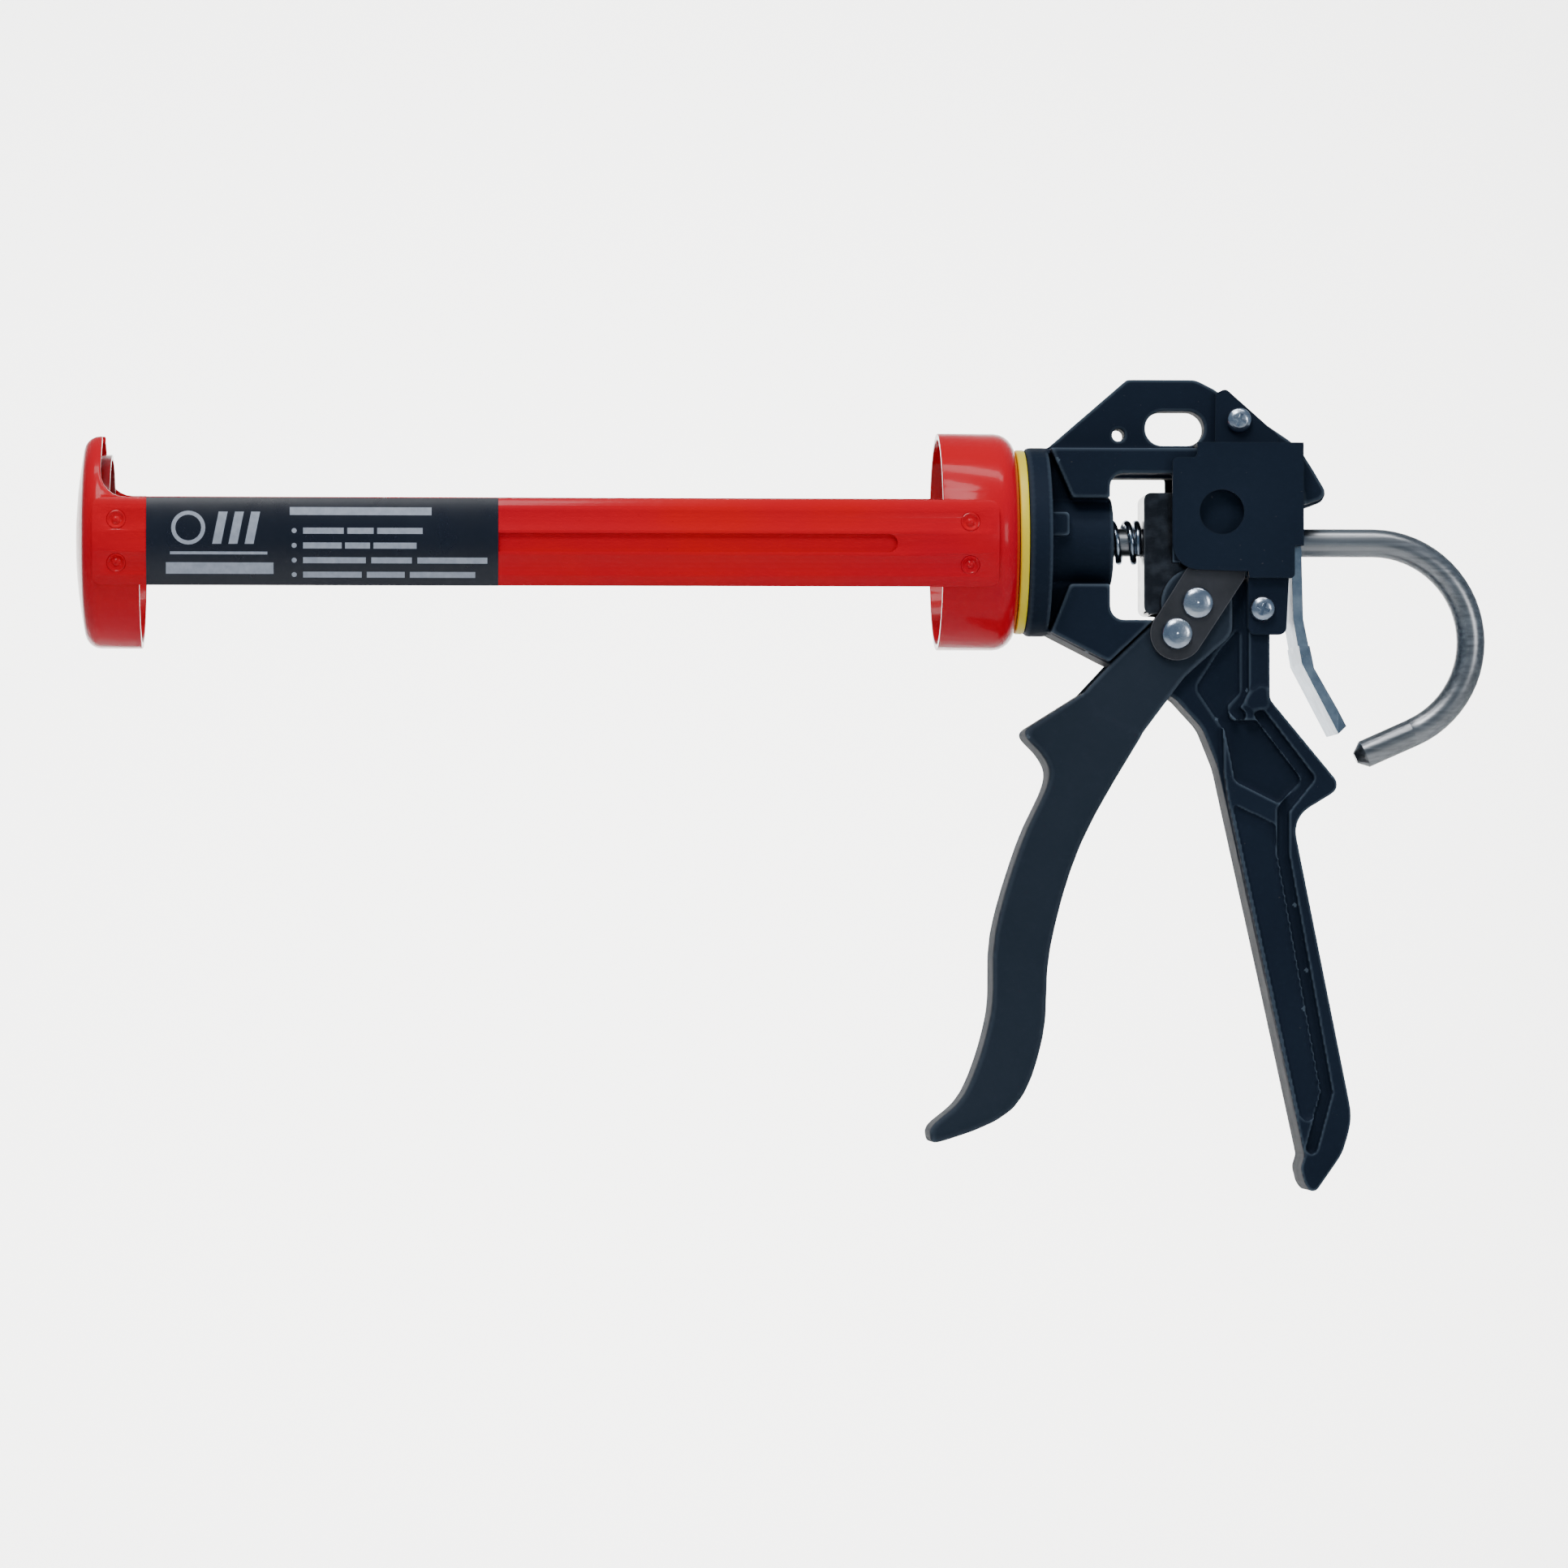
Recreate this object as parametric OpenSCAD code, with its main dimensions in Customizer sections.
// Caulking gun with a revolving barrel, a smooth rod drive and a spout cutter.
// The rod's axis is the X axis, the hook is towards +X, and +Z is up.

/* [Barrel] */
// Outer radius of the two red cups
barrel_r = 27.3; // [27:0.1:28]
// Thickness of the pressed cups
sheet = 1.5; // [1.2:0.1:1.8]
// Where the nose cup's face is, on the rod's axis
nose_x = -231.4; // [-240:0.1:-225]
// Depth of the nose cup
nose_depth = 16.7; // [14:0.1:18]
// Where the rear cup's back face is
rear_x = 4; // [4:0.1:4]
// Depth of the rear cup
rear_depth = 19.5; // [16:0.1:22]
// Width of each side strap
strap_w = 21.6; // [18:0.1:24]
// Thickness of each side strap
strap_t = 1.25; // [1:0.05:1.5]
// Width of the nozzle slot
slot_w = 17; // [12:0.5:20]
// Turn of the barrel on the handle
barrel_turn = 4; // [0:1:8]

/* [Rod] */
// Diameter of the push rod
rod_d = 7.15; // [6.5:0.05:7.2]
// Radius of the hook's bend
hook_r = 25; // [22:0.5:27]
// Angle the hook turns through
hook_turn = 156; // [140:1:160]
// Radius of the piston plate
piston_r = 21.3; // [18:0.1:22]

/* [Handle] */
// Radius of the flange behind the barrel
flange_r = 23.8; // [22:0.1:25]
// Width of the rails beside the window
rail_w = 24; // [23:0.5:24]
// Thickness of the top web with the hang slot
web_w = 8; // [6:0.5:9]
// Width of the grip
grip_w = 21; // [19:0.2:21.2]
// Radius of the small hanging hole
hang_hole_r = 1.6; // [1:0.1:2]

/* [Trigger] */
// Thickness of each trigger cheek
cheek_t = 2.2; // [1.8:0.1:2.2]
// Radius of the rivets' shanks
rivet_r = 2.5; // [2:0.1:2.5]
// Width of the trigger's grip
trigger_w = 22; // [18:0.5:22]

/* [Cover] */
// Thickness of the cover plate
cover_t = 1.4; // [1:0.1:1.5]
// Radius of the spout cutter hole
cutter_hole_r = 5.6; // [4:0.1:6]

/* [Release lever] */
// Thickness of the release lever
lever_t = 2.5; // [2:0.1:2.5]
// Width of the lever's thumb end
lever_w = 25; // [20:0.5:25]

/* [Springs] */
// Wire diameter of the return spring
spring_wire = 1.7; // [1.2:0.1:1.8]
// Turns of the return spring
spring_turns = 5; // [3:1:6]

/* [Hidden] */
$fn = 64;
gap = 0.3;                              // clearance between curved faces that move past each other
fit = 0.1;                              // radial running clearance
over = 1;                               // how far a cutter runs past the face it cuts
casting_color = [0.13, 0.16, 0.21];
red = [0.86, 0.14, 0.14];
zinc = [0.75, 0.78, 0.82];

rod_r = rod_d / 2;
pivot = [49.3, -15.8];                  // trigger pivot, [x, z]
link = [44.1, -23.5];                   // lower rivet, [x, z]
cheek_in = 8.6;                         // inner face of the trigger cheeks
cheek_out = cheek_in + cheek_t;
web_in = cheek_in - gap;                // half width of the casting between the cheeks
rail_h = rail_w / 2;
grip_h = grip_w / 2;
cover_in = 12.6;                        // inner face of the cover plate
cover_out = cover_in + cover_t;
strap_in = barrel_r + 0.05;
strap_out = strap_in + strap_t;
nose_r = 9;                             // radius of the casting's threaded nose
spring_seat_x = 18;                     // bottom of the hub's spring pocket
carrier_x = 36.2;                       // front face of the drive carrier
column_x = 62;                          // front of the casting's rear column
column_back = 70.6;                     // back of the casting's rear column
lever_x = 73.2;                         // front face of the release lever at the rod
hook_x = 94.8;                          // where the rod starts to bend
window_x = 27.4;                        // front end of the window
window_top = 16.8;
window_bottom = -20;

// ---- outlines ----
function unit(v) = v / norm(v);
function short_turn(a) = a > 180 ? a - 360 : a < -180 ? a + 360 : a;
// One corner of an outline, with its round stretch when the point's third value is a radius
function corner(a, b, c, r, steps) =
    r == 0 ? [b] :
    let (u = unit(a - b),
         v = unit(c - b),
         half = acos(u * v) / 2,
         centre = b + unit(u + v) * r / sin(half),
         p = b + u * r / tan(half) - centre,
         q = b + v * r / tan(half) - centre,
         start = atan2(p[1], p[0]),
         turn = short_turn(atan2(q[1], q[0]) - start))
    [for (i = [0 : steps]) centre + r * [cos(start + turn * i / steps), sin(start + turn * i / steps)]];
function flat(p) = [p[0], p[1]];
function radius(p) = len(p) > 2 ? p[2] : 0;
function outline(pts, steps = 5) =
    let (n = len(pts))
    [for (i = [0 : n - 1])
        each corner(flat(pts[(i + n - 1) % n]), flat(pts[i]), flat(pts[(i + 1) % n]), radius(pts[i]), steps)];
// A smooth line through points, leaving its two end points as they are
function spline_at(a, b, c, d, t) =
    0.5 * (2 * b + (c - a) * t + (2 * a - 5 * b + 4 * c - d) * t * t + (3 * b - 3 * c + d - a) * t * t * t);
function curve(pts, steps = 4) =
    let (n = len(pts))
    concat([for (i = [0 : n - 2], k = [0 : steps - 1])
        spline_at(pts[max(i - 1, 0)], pts[i], pts[i + 1], pts[min(i + 2, n - 1)], k / steps)], [pts[n - 1]]);
function polar(r, a) = r * [cos(a), sin(a)];

// ---- shared solids ----
// An outline in X and Z, extruded from y0 to y1
module slab_at(pts, y0, y1) {
    translate([0, y1, 0]) rotate([90, 0, 0]) linear_extrude(y1 - y0) polygon(pts);
}
module slab(pts, half) { slab_at(pts, -half, half); }
module both_sides() {
    children();
    mirror([0, 1, 0]) children();
}
module cyl_y(p, r, y0, y1) {
    translate([p[0], y1, p[1]]) rotate([90, 0, 0]) cylinder(r = r, h = y1 - y0);
}
module cyl_x(r, x0, x1) { translate([x0, 0, 0]) rotate([0, 90, 0]) cylinder(r = r, h = x1 - x0); }
module ring_x(r_out, r_in, x0, x1) {
    difference() {
        cyl_x(r_out, x0, x1);
        cyl_x(r_in, x0 - over, x1 + over);
    }
}
// A profile of [radius, x] points turned about the rod's axis
module revolve(pts) { rotate([0, 90, 0]) rotate_extrude() polygon(pts); }
// A bar with round ends between two points, along Y
module bar_y(p, q, r, y0, y1) {
    d = q - p;
    cyl_y(p, r, y0, y1);
    cyl_y(q, r, y0, y1);
    translate([p[0], y0, p[1]]) rotate([0, -atan2(d[1], d[0]), 0]) translate([0, 0, -r])
        cube([norm(d), y1 - y0, 2 * r]);
}
// A coil of round wire about the rod's axis
module coil(r, wire, x0, x1, turns) {
    per_turn = 20;
    sides = 8;
    n = turns * per_turn;
    pitch = (x1 - x0 - wire) / n;
    ring = [for (i = [0 : n]) [for (k = [0 : sides - 1])
        let (a = i * 360 / per_turn, c = k * 360 / sides, rr = r + wire / 2 * cos(c))
        [x0 + wire / 2 + i * pitch + wire / 2 * sin(c), rr * cos(a), rr * sin(a)]]];
    walls = [for (i = [0 : n - 1], k = [0 : sides - 1])
        let (a = i * sides + k, b = i * sides + (k + 1) % sides)
        [a, b, b + sides, a + sides]];
    first = [for (k = [0 : sides - 1]) sides - 1 - k];
    last = [for (k = [0 : sides - 1]) n * sides + k];
    polyhedron([for (row = ring, p = row) p], concat(walls, [first], [last]));
}
module domed_head(p, y, r, h) {
    translate([p[0], y, p[1]]) rotate([90, 0, 0]) rotate_extrude()
        polygon([[0, 0], [r, 0], [r, h * 0.25], [r * 0.92, h * 0.6], [r * 0.68, h * 0.86],
                 [r * 0.36, h * 0.97], [0, h]]);
}

// ---- barrel ----
module barrel() { rotate([barrel_turn, 0, 0]) children(); }
// Half profile of the nose cup: a shallow dome, a rounded corner, and a straight skirt
function nose_profile(r, x, dome, round, depth) =
    let (c = dome - sqrt(pow(dome - round, 2) - pow(r - round, 2)),
         a1 = asin((r - round) / (dome - round)))
    concat([for (i = [0 : 5]) [dome * sin(a1 * i / 5), x + dome * (1 - cos(a1 * i / 5))]],
           [for (i = [1 : 5]) let (a = a1 + (90 - a1) * i / 5)
               [r - round + round * sin(a), x + c - round * cos(a)]],
           [[r, x + depth], [0, x + depth]]);
nose_dome = 120;
nose_round = 4;
ear_x = -224.4;                         // back edge of the nose cup's two ears
ear_round = 6.2;
module front_cap() {
    top = barrel_r + over;
    color(red) barrel() difference() {
        revolve(nose_profile(barrel_r, nose_x, nose_dome, nose_round, nose_depth));
        revolve(nose_profile(barrel_r - sheet, nose_x + sheet, nose_dome - sheet, nose_round - sheet,
                             nose_depth));
        // the nozzle slot, open at the top
        cyl_x(slot_w / 2, nose_x - over, nose_x + nose_depth + over);
        translate([nose_x - over, -slot_w / 2, 0]) cube([nose_depth + 2 * over, slot_w, top]);
        // the skirt stops at the straps, with a round sweep up to each ear
        slab([[ear_x, top], [ear_x, 17.1],
              for (i = [1 : 6]) [ear_x + ear_round, 17.1] + polar(ear_round, 180 + 15 * i),
              [nose_x + nose_depth + over, 10.9], [nose_x + nose_depth + over, top]], top);
    }
}
module rear_cap() {
    rim = rear_x - rear_depth;
    color(red) barrel() difference() {
        revolve(outline([[0, rim], [barrel_r, rim], [barrel_r, rear_x, 5.5], [0, rear_x]], 6));
        revolve(outline([[0, rim - over], [barrel_r - sheet, rim - over],
                         [barrel_r - sheet, rear_x - sheet, 4], [0, rear_x - sheet]], 6));
        cyl_x(nose_r + gap, 0, rear_x + over);
    }
}
strap_front = -226.2;
strap_back = -1.7;
channel = [-205, -26, 6.6];             // start, end and width of the pressed channel
weld_x = [-220.3, -8.9];
weld_z = 5.4;
module strap_outline(x0, x1, half, y_far) {
    slab_at(outline([[x0, -half, 2.2], [x1, -half, 2.2], [x1, half, 2.2], [x0, half, 2.2]]), -y_far, 0);
}
// The near strap; the far one is its mirror image
module side_strap() {
    half = channel[2] / 2;
    difference() {
        union() {
            intersection() {
                ring_x(strap_out, strap_in, strap_front, strap_back);
                strap_outline(strap_front, strap_back, strap_w / 2, strap_out + over);
            }
            intersection() {
                ring_x(strap_out - 0.2, strap_in - 0.9, channel[0] - half, channel[1]);
                bar_y([channel[0], 0], [channel[1] - half, 0], half, -strap_out, 0);
            }
        }
        difference() {
            bar_y([channel[0], 0], [channel[1] - half, 0], half - 1, -strap_out - over, 0);
            cyl_x(strap_in + 0.2, channel[0] - 2 * half, channel[1] + half);
        }
        for (x = weld_x, z = [-weld_z, weld_z])
            cyl_y([x, z], 2.4, -strap_out - over, -strap_out + 1.1);
    }
}
module side_strap_near() { color(red) barrel() side_strap(); }
module side_strap_far() { color(red) barrel() mirror([0, 1, 0]) side_strap(); }
label_x = [-212.9, -126];
module label() {
    color([0.1, 0.12, 0.18]) barrel() intersection() {
        ring_x(strap_out + 0.15, strap_out, label_x[0], label_x[1]);
        slab_at([[label_x[0], -strap_w / 2], [label_x[1], -strap_w / 2], [label_x[1], strap_w / 2],
                 [label_x[0], strap_w / 2]], -strap_out - over, 0);
    }
}

// ---- swivel ----
module swivel_washer() {
    color([0.93, 0.87, 0.12])
        revolve(outline([[nose_r + 0.05, rear_x + 0.1], [23.2, rear_x + 0.1, 0.5], [23.2, 6.35, 0.3],
                         [nose_r + 0.05, 6.35]], 3));
}
module nut_washer() { color(zinc) ring_x(15, nose_r + 0.05, 1.2, rear_x - sheet - 0.15); }
module barrel_nut() {
    color(zinc) difference() {
        translate([-3.8, 0, 0]) rotate([0, 90, 0]) cylinder(r = 14, h = 5, $fn = 6);
        cyl_x(nose_r + 0.05, -3.8 - over, 1.2 + over);
    }
}

// ---- rod and piston ----
thread_r = 3;
tip_chamfer = 2.5;
tail_r = rod_r - 0.03;
tail_len = 13.4;
rod_front = -229.6;
plate_x = -227;                         // front face of the piston plate
// The hook is the part of a full ring that the turn takes in, then a straight tail with a coned tip
module push_rod() {
    centre = [hook_x, -hook_r];
    wide = 3 * hook_r;
    color(zinc) union() {
        cyl_x(thread_r, rod_front, -219);
        cyl_x(rod_r, -220, hook_x);
        intersection() {
            translate([hook_x, 0, -hook_r]) rotate([90, 0, 0]) rotate_extrude() translate([hook_r, 0])
                circle(rod_r);
            slab([centre, centre + [0, wide], centre + [wide, wide], centre + [wide, -wide],
                  centre + polar(2 * wide, 90 - hook_turn)], rod_r + over);
        }
        translate([hook_x, 0, -hook_r]) rotate([0, hook_turn - 90, 0]) translate([hook_r, 0, 0])
            rotate([180, 0, 0]) {
                translate([0, 0, -0.4]) cylinder(r = tail_r, h = tail_len + 0.4);
                translate([0, 0, tail_len]) cylinder(r1 = tail_r, r2 = 1.4, h = tip_chamfer);
            }
    }
}
// A dished plate whose rim is turned back
module piston_plate() {
    color([0.6, 0.12, 0.12]) difference() {
        revolve(outline([[0, plate_x], [12, plate_x, 2], [15, plate_x + 1.2, 2], [piston_r, plate_x + 1.2, 1.4],
                         [piston_r, -222.3], [piston_r - 1.2, -222.3], [piston_r - 1.2, plate_x + 2.6, 1],
                         [14, plate_x + 2.6, 1], [11.5, plate_x + 1.5, 1], [0, plate_x + 1.5]], 3));
        cyl_x(thread_r + fit, plate_x - over, plate_x + 2 * over);
    }
}
module piston_collar() { color(zinc) ring_x(8, thread_r + fit, plate_x + 1.6, plate_x + 3.6); }
module piston_nut() {
    color(zinc) difference() {
        translate([-229.6, 0, 0]) rotate([0, 90, 0]) cylinder(r = 5.4, h = 2.5, $fn = 6);
        cyl_x(thread_r, -231, -227);
    }
}

// ---- handle ----
hang_slot = [[41.3, 28.6], [47.6, 28.6], 4.35];
hang_hole = [30.2, 26.9];
cover_screws_at = [[60.5, 30.6], [65.6, -17.2]];
screw_r = 1.7;
web_line = outline([
    [11.9, 23.2], [32.4, 40.9, 1.5], [49.8, 40.9, 5], [54.3, 38.6, 4], [74, 25.4, 6], [79, 18.5, 3],
    [82.7, 12.4, 1.4], [81.6, 10.2, 1.2], [76.3, 8.3, 0.6], [76.3, 16], [12, 16]]);
upper_rail = outline([
    [12.4, 23.1], [17.9, 10.6, 1], [window_x, 10.6], [window_x, window_top, 3.4],
    [72, window_top], [72, 23.1, 0.6]]);
lower_rail = outline([
    [12.5, -23.1], [17.3, -11, 1], [window_x, -11], [window_x, window_bottom, 3.4],
    [38.4, window_bottom], [27.1, -30.6]]);
spur = outline([
    [66, 23], [75.6, 23, 2], [78.6, 18.3, 2], [82, 12.5, 1.2], [81, 10.6, 1.2], [76.3, 9, 0.6],
    [76.3, 12.6], [66, 12.6]]);
// The whole grip with the web that the trigger's cheeks straddle
grip_line = outline([
    [12.6, -23.4], [44, -39.6, 7], [50.8, -47, 10], [54.8, -57, 20], [76.2, -154.4, 3],
    [75.2, -157.4, 2], [76.2, -161.2, 2], [78.4, -164.4, 1.5], [85.8, -153.8, 12],
    [88.4, -145, 16], [73.4, -69.6, 7], [86, -61.9, 2.7], [67.7, -39.8, 3], [67.7, -20], [43, -20],
    [window_x, window_bottom], [17, -14]]);
// Its thicker part, clear of the cheeks at full squeeze
thick_grip = outline([
    [61.4, -7.5], [61.4, -24], [57.6, -34, 4], [55.8, -46, 10], [56, -58], [57.2, -66],
    [76.2, -154.4, 3], [75.2, -157.4, 2], [76.2, -161.2, 2], [78.4, -164.4, 1.5], [85.8, -153.8, 12],
    [88.4, -145, 16], [73.4, -69.6, 7], [86, -61.9, 2.7], [67.7, -39.8, 3], [67.7, -7.5]]);
upper_panel = outline([
    [55.4, -27.4], [60.2, -22], [60.2, -38.2, 1], [57.2, -41.4, 1], [57.6, -45.2, 1.4], [64.4, -45.2, 1.4],
    [75.8, -60, 1.6], [70, -66, 1.4], [58.9, -60.4, 1.6], [57.9, -55, 2], [56.3, -47.4, 3], [49.3, -37, 2]]);
lower_panel = outline([
    [58.3, -66.2], [69.1, -71.4, 1.4], [69.4, -78.7, 3], [80.2, -138.4, 8], [76.9, -152.6, 2]]);
groove = [[60.9, -10], [60.9, -38.4], [58.4, -42], [60.2, -43.9], [65.2, -43.7], [77.4, -59.6],
          [71, -67.6], [71, -78.7], [81.8, -138.4], [78, -152.4]];
thumb_pad = outline([
    [60.8, -41, 0.8], [62, -38.4, 0.8], [65.2, -36.4, 0.8], [67.2, -36.8, 0.6], [67.6, -42.2, 0.8],
    [63.4, -42.9, 0.8]]);
ear_r = 5.8;                            // pivot ears
ear_in = 5.1;
cam_sweep = 13;                         // reach of the cam and the link rivet about the pivot
module hub() {
    revolve(outline([[0, 10], [11.4, 10], [11.4, 28.5, 0.7], [0, 28.5]], 3));
    revolve(outline([[0, -3.8], [nose_r, -3.8, 0.6], [nose_r, 6.4], [flange_r, 6.4, 1.3],
                     [flange_r, 12.2, 0.6], [0, 12.2]], 4));
    slab(outline([[12, 22], [18.4, 12], [18.4, -12], [12, -22]]), 5);
    // the lug that locates the flange on the hub
    slab_at(outline([[12, 6.9], [17.1, 6.9, 1], [17.1, 0.9, 1], [12, 0.9]]), -14, 0);
}
module pivot_ears() {
    both_sides() difference() {
        union() {
            cyl_y(pivot, ear_r, ear_in, web_in);
            slab_at([pivot + [0, ear_r], [64, pivot[1] + ear_r], [64, pivot[1] - ear_r], pivot - [0, ear_r]],
                    ear_in, web_in);
        }
        cyl_y(pivot, rivet_r + fit, 0, rail_h);
    }
}
module column() {
    difference() {
        union() {
            slab(outline([[column_x, window_top + 1], [column_x, -22], [column_back, -22, 2],
                          [column_back, 8], [72.9, 8], [72.9, window_top + 1]]), grip_h);
            // side walls of the pocket that holds the drive
            both_sides() slab_at([[43.2, window_top + 1], [43.2, -5.6], [column_x + 1, -5.6],
                                  [column_x + 1, window_top + 1]], cheek_in + 0.2, grip_h);
        }
        cyl_x(rod_r + gap, column_x - over, column_back + 3);
        cyl_x(6.2, 67.6, column_back + 3);
    }
}
// Where the link rivet swings as the trigger closes
module link_slot() {
    intersection() {
        cyl_y(pivot, cam_sweep, -rail_h, rail_h);
        slab([pivot, pivot + polar(30, -160), pivot + polar(30, -125), pivot + polar(30, -84)], rail_h);
    }
}
module grip() {
    difference() {
        slab(grip_line, web_in);
        cyl_y(pivot, cam_sweep, 0.3 - ear_in, ear_in - 0.3);
        link_slot();
        both_sides() slab_at(upper_panel, web_in - 1.1, rail_h);
    }
    difference() {
        slab(thick_grip, grip_h);
        both_sides() slab_at(upper_panel, web_in - 1.1, rail_h);
        both_sides() slab_at(lower_panel, grip_h - 1.1, rail_h);
        for (i = [0 : len(groove) - 2])
            both_sides() bar_y(groove[i], groove[i + 1], 1.4, 6.2, rail_h);
    }
    slab(thumb_pad, grip_h + 0.4);
}
module handle_casting() {
    color(casting_color) difference() {
        union() {
            hub();
            slab(web_line, web_w / 2);
            slab(upper_rail, rail_h);
            slab(lower_rail, rail_h);
            slab(spur, grip_h - 1);
            column();
            pivot_ears();
            grip();
        }
        bar_y(hang_slot[0], hang_slot[1], hang_slot[2], -rail_h, rail_h);
        cyl_y(hang_hole, hang_hole_r, -rail_h, rail_h);
        cyl_y(cover_screws_at[0], screw_r + 0.05, -rail_h, rail_h);
        cyl_y(cover_screws_at[1], screw_r + 0.05, -rail_h, -2);
        cyl_y(pivot, rivet_r + fit, -rail_h, rail_h);
        cyl_x(rod_r + fit, -6, spring_seat_x + over);
        cyl_x(6.4, spring_seat_x, 30);
    }
}

// ---- trigger ----
cheek_r = 9;
cheek_line = outline([
    [28.4, -30.1], [41.5, -17.8], [49.3, -6.8], [58.3, -15.8], [58.3, -23.6, 5], [46.3, -34.2, 12],
    [35.3, -48.9], [30, -46.4], [23.4, -43.6, 2], [20.2, -38.9]]);
trigger_line = concat(
    [[20.6, -38.4]],
    curve([[5.7, -47.7], [6.3, -49.6], [10.9, -54.7], [11.9, -60.8], [5.1, -76.1], [-1.5, -98.6], [-2.6, -119],
           [-8.9, -138.3], [-17.2, -146.5], [-17.8, -149.2], [-15.6, -150.9], [3, -142.6], [10.6, -124.5],
           [12.4, -102.6], [20.2, -76.1], [35.6, -48.7]]),
    [[30, -46.4], [23.4, -43.2]]);
module trigger_casting() {
    color(casting_color) difference() {
        union() {
            slab(trigger_line, trigger_w / 2);
            both_sides() slab_at(cheek_line, cheek_in, cheek_out);
            both_sides() cyl_y(pivot, cheek_r, cheek_in, cheek_out);
        }
        cyl_y(pivot, rivet_r, -rail_h, rail_h);
        cyl_y(link, rivet_r, -rail_h, rail_h);
    }
}
cam_w = 9;
cam_nose = 2.2;                         // how far the cam's nose stands in front of the pivot
cam_line = outline([
    pivot + [-cam_nose, 6.2], pivot + [cam_nose, 6.2], pivot + [4.8, 1], pivot + [3.2, -5.2],
    [48.6, -25.6], [43.9, -27.6], [39.8, -24.6], [41.4, -20], pivot + [-4.4, -1.6], pivot + [-cam_nose, 4]]);
module drive_cam() {
    color(zinc) difference() {
        slab(cam_line, cam_w / 2);
        cyl_y(pivot, rivet_r, -rail_h, rail_h);
        cyl_y(link, rivet_r, -rail_h, rail_h);
    }
}
blade_in = 10.95;
blade_t = 1.4;
module cutter_blade() {
    color([0.25, 0.25, 0.28]) difference() {
        union() {
            slab_at(outline([
                [38.2, -20.6], [46.4, -7.4, 2], [50.5, -3.2, 2], [61.2, -1.2], [61.9, 12, 0.6], [68.4, 12, 2],
                [69, 3, 3], [61.4, -6.8, 1], [61.2, -9.6, 1], [49.8, -27]]), -blade_in - blade_t, -blade_in);
            cyl_y(link, 6.7, -blade_in - blade_t, -blade_in);
        }
        cyl_y(pivot, rivet_r, -rail_h - over, 0);
        cyl_y(link, rivet_r, -rail_h - over, 0);
    }
}
head_r = 4;
head_h = 1.9;
module rivet(p) {
    near = blade_in + blade_t;
    color(zinc) union() {
        cyl_y(p, rivet_r, -near - 0.1, cheek_out + 0.1);
        domed_head(p, -near, head_r, head_h);
        mirror([0, 1, 0]) domed_head(p, -cheek_out, head_r, head_h);
    }
}
module pivot_rivet() { rivet(pivot); }
module link_rivet() { rivet(link); }

// ---- drive ----
carrier_h = 8.4;                        // half width of the drive carrier
module drive_carrier() {
    color([0.16, 0.16, 0.17]) difference() {
        union() {
            slab(outline([[carrier_x, 12.1, 1.8], [carrier_x + 2.2, 12.1], [carrier_x + 2.2, -18.4],
                          [carrier_x, -18.4, 1.8]]), carrier_h);
            both_sides() slab_at(outline([[38, 12.1], [52, 12.1, 1], [52, -9.2, 1], [43, -9.2], [43, -18.4, 1],
                                          [38, -18.4]]), carrier_h - 1.5, carrier_h);
        }
        cyl_x(rod_r + gap, 30, 60);
    }
}
plate_t = 2.5;
plates = 3;
plates_back = pivot[0] - cam_nose - 0.05;
module drive_plates() {
    for (i = [0 : plates - 1]) {
        back = plates_back - i * (plate_t + 0.1);
        color(zinc) difference() {
            union() {
                slab([[back - plate_t, 9.5], [back, 9.5], [back, -9], [back - plate_t, -9]], 6.5);
                slab([[back - plate_t, -8], [back, -8], [back, -12], [back - plate_t, -12]], 4.5);
            }
            cyl_x(rod_r + gap, back - plate_t - over, back + over);
        }
    }
}
module return_spring() {
    color(zinc) coil(4.85, spring_wire, spring_seat_x + 0.1, carrier_x - 0.1, spring_turns);
}

// ---- cover ----
module cover_plate() {
    color(casting_color) difference() {
        union() {
            // the face, with a step at its front top corner
            slab_at(outline([
                [42.9, 20.7, 1.5], [42.9, -7.3, 6.5], [62, -7.9], [62.2, -9.5], [73.6, -9.5, 1], [73.6, -1.4],
                [75.9, -1.4], [75.9, 24.5], [49.1, 24.5], [49.1, 20.7, 1]]), -cover_out, -cover_in);
            // the top fold lies on the rail
            slab_at([[49.1, 23.2], [74.6, 23.2], [74.6, 24.5], [49.1, 24.5]], -cover_out, -web_w / 2 - 0.05);
            slab_at(outline([[54.4, 23.2], [54.6, 37.4, 1.4], [57.2, 38.6, 1.4], [70.4, 26.9, 1], [70.4, 23.2]]),
                    -web_w / 2 - 0.05 - cover_t, -web_w / 2 - 0.05);
            // the rear fold
            slab_at([[74.5, -1.4], [75.9, -1.4], [75.9, 24.5], [74.5, 24.5]], -cover_out, -10.4);
            // the lower tab, set inward to meet the post
            slab_at(outline([[62.1, -8], [72.4, -8], [71.6, -23.7, 1.8], [62.1, -23.7, 1.8]]),
                    -grip_h - 0.1 - cover_t, -grip_h - 0.1);
            slab_at([[62.2, -9.5], [73, -9.5], [73, -8], [62.2, -8]], -cover_out, -grip_h - 0.1);
        }
        cyl_y([55.3, 7], cutter_hole_r, -cover_out - over, -cover_in + over);
        for (p = cover_screws_at)
            cyl_y(p, screw_r + 0.05, -cover_out - over, 0);
    }
}
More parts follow.
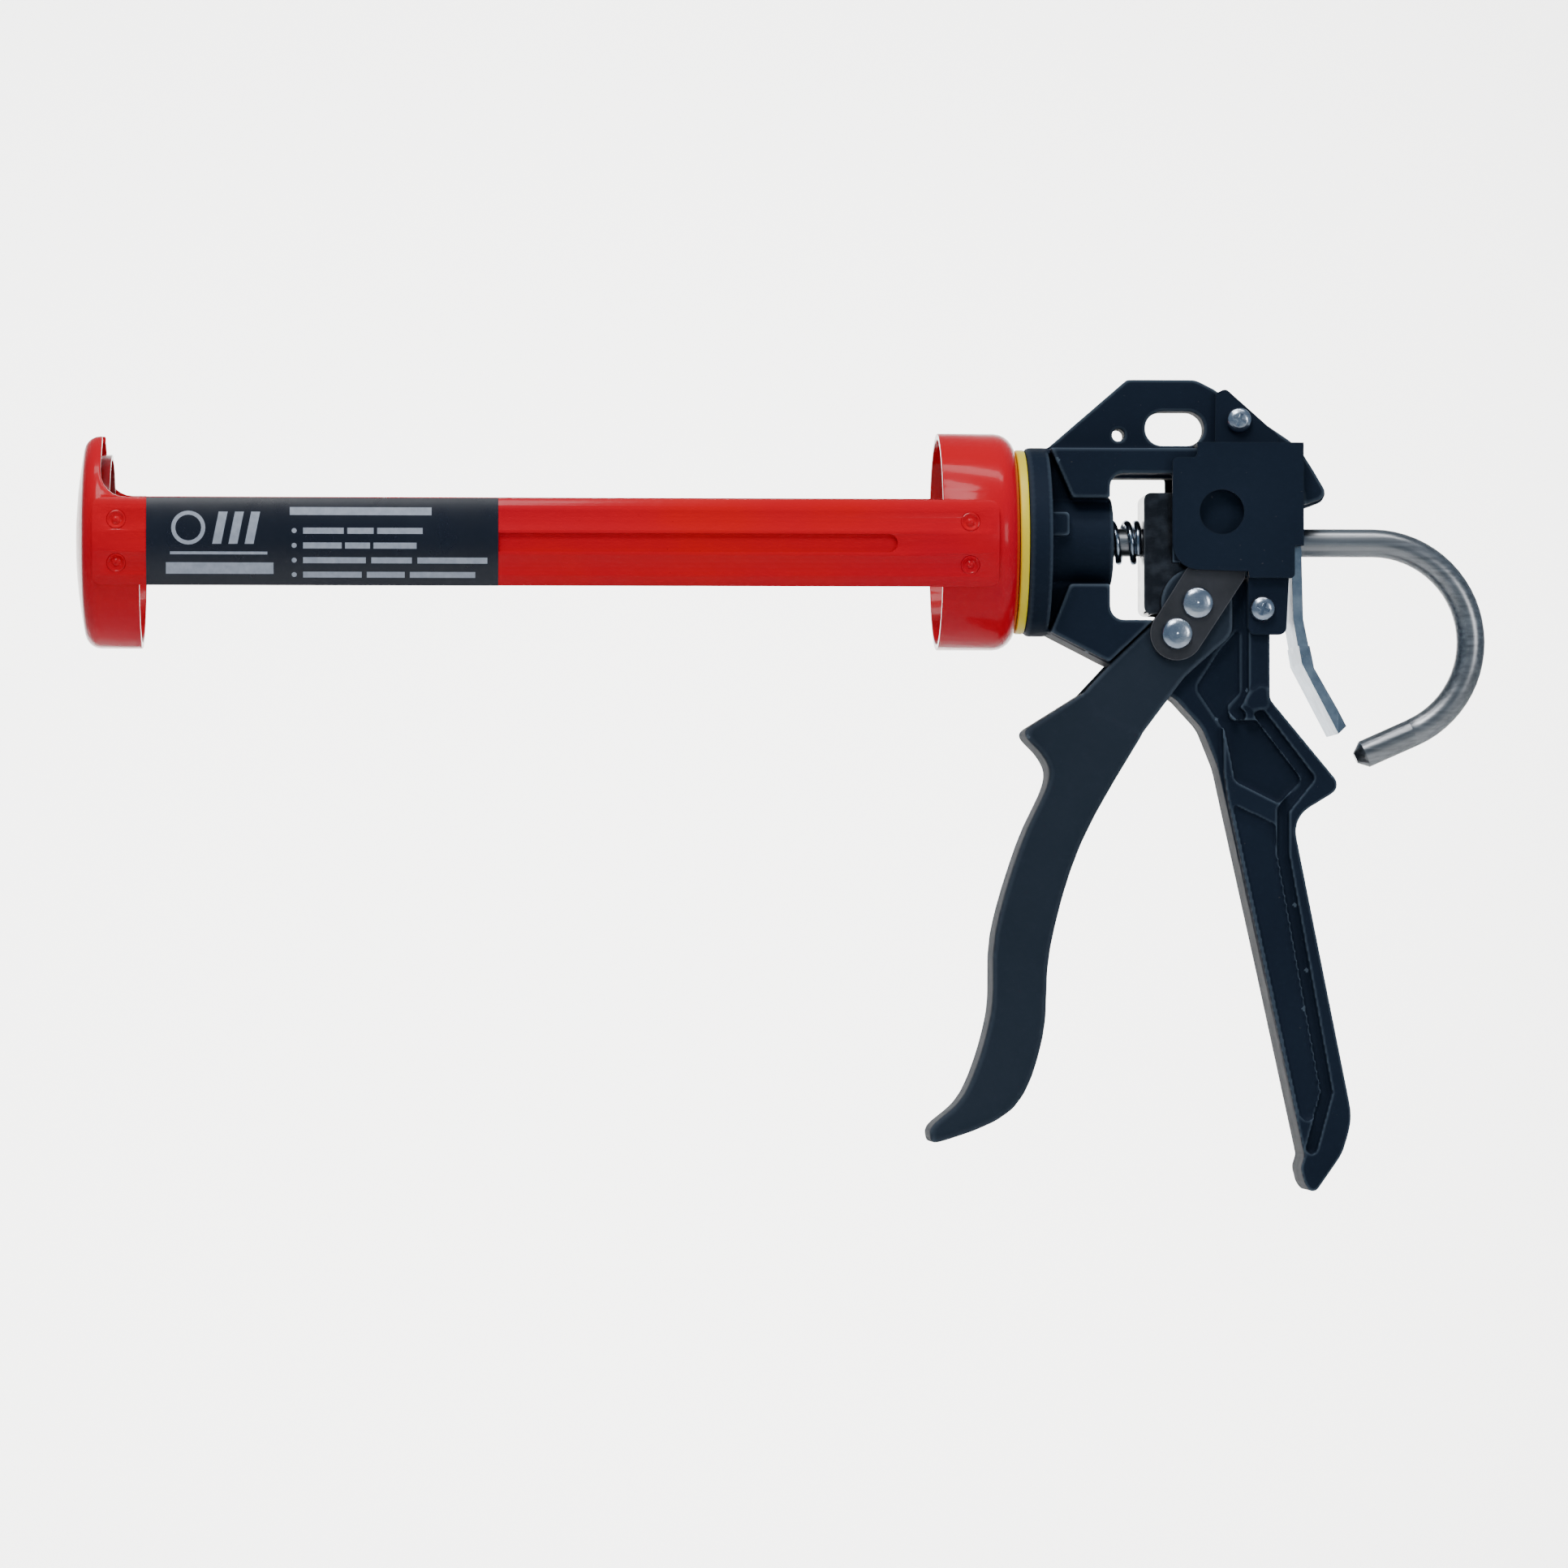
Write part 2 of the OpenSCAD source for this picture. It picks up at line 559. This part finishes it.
module screw(p, y, length) {
    color(zinc) difference() {
        union() {
            cyl_y(p, screw_r, -y - 0.2, -y + length);
            translate([p[0], -y, p[1]]) rotate([90, 0, 0]) rotate_extrude()
                polygon([[0, 0], [3.2, 0], [3.2, 0.9], [2.8, 1.6], [1.9, 2.1], [0, 2.3]]);
        }
        for (a = [0, 90])
            translate([p[0], -y - 2.3, p[1]]) rotate([0, a + 20, 0]) translate([-1.7, -0.1, -0.35])
                cube([3.4, 1.3, 0.7]);
    }
}
module cover_screws() {
    screw(cover_screws_at[0], web_w / 2 + 0.05 + cover_t, 5.4 + web_w / 2);
    screw(cover_screws_at[1], grip_h + 0.1 + cover_t, 9);
}

// ---- release lever ----
lever_neck = 20.4;
lever_line = [[75.7, -1.8], [76.1, -19.6], [78.6, -32.1], [86.9, -46.6], [84.7, -48.6], [75.5, -31],
              [73.6, -19.6], [73.2, -1.8]];
module release_lever() {
    color(zinc) difference() {
        union() {
            slab([[lever_x, 11.6], [lever_x + lever_t, 11.6], [lever_x + lever_t, -3], [lever_x, -3]], 9);
            intersection() {
                slab(lever_line, lever_w / 2);
                // narrow beside the cover's tab, wide at the thumb end, whose corners are cut off
                union() {
                    translate([70, -lever_neck / 2, -30]) cube([12, lever_neck, 40]);
                    translate([0, 0, -70]) linear_extrude(43.5) polygon([
                        [70, -lever_w / 2], [84.6, -lever_w / 2], [88, -lever_w / 2 + 2.4],
                        [88, lever_w / 2 - 2.4], [84.6, lever_w / 2], [70, lever_w / 2]]);
                }
            }
        }
        cyl_x(rod_r + 0.6, lever_x - over, lever_x + lever_t + over);
    }
}
module catch_spring() { color(zinc) coil(4.75, 1.2, 67.8, lever_x - 0.1, 2); }

handle_casting();
front_cap();
rear_cap();
side_strap_near();
side_strap_far();
label();
swivel_washer();
barrel_nut();
nut_washer();
push_rod();
piston_plate();
piston_collar();
piston_nut();
drive_carrier();
drive_plates();
return_spring();
trigger_casting();
drive_cam();
cutter_blade();
pivot_rivet();
link_rivet();
cover_plate();
cover_screws();
release_lever();
catch_spring();
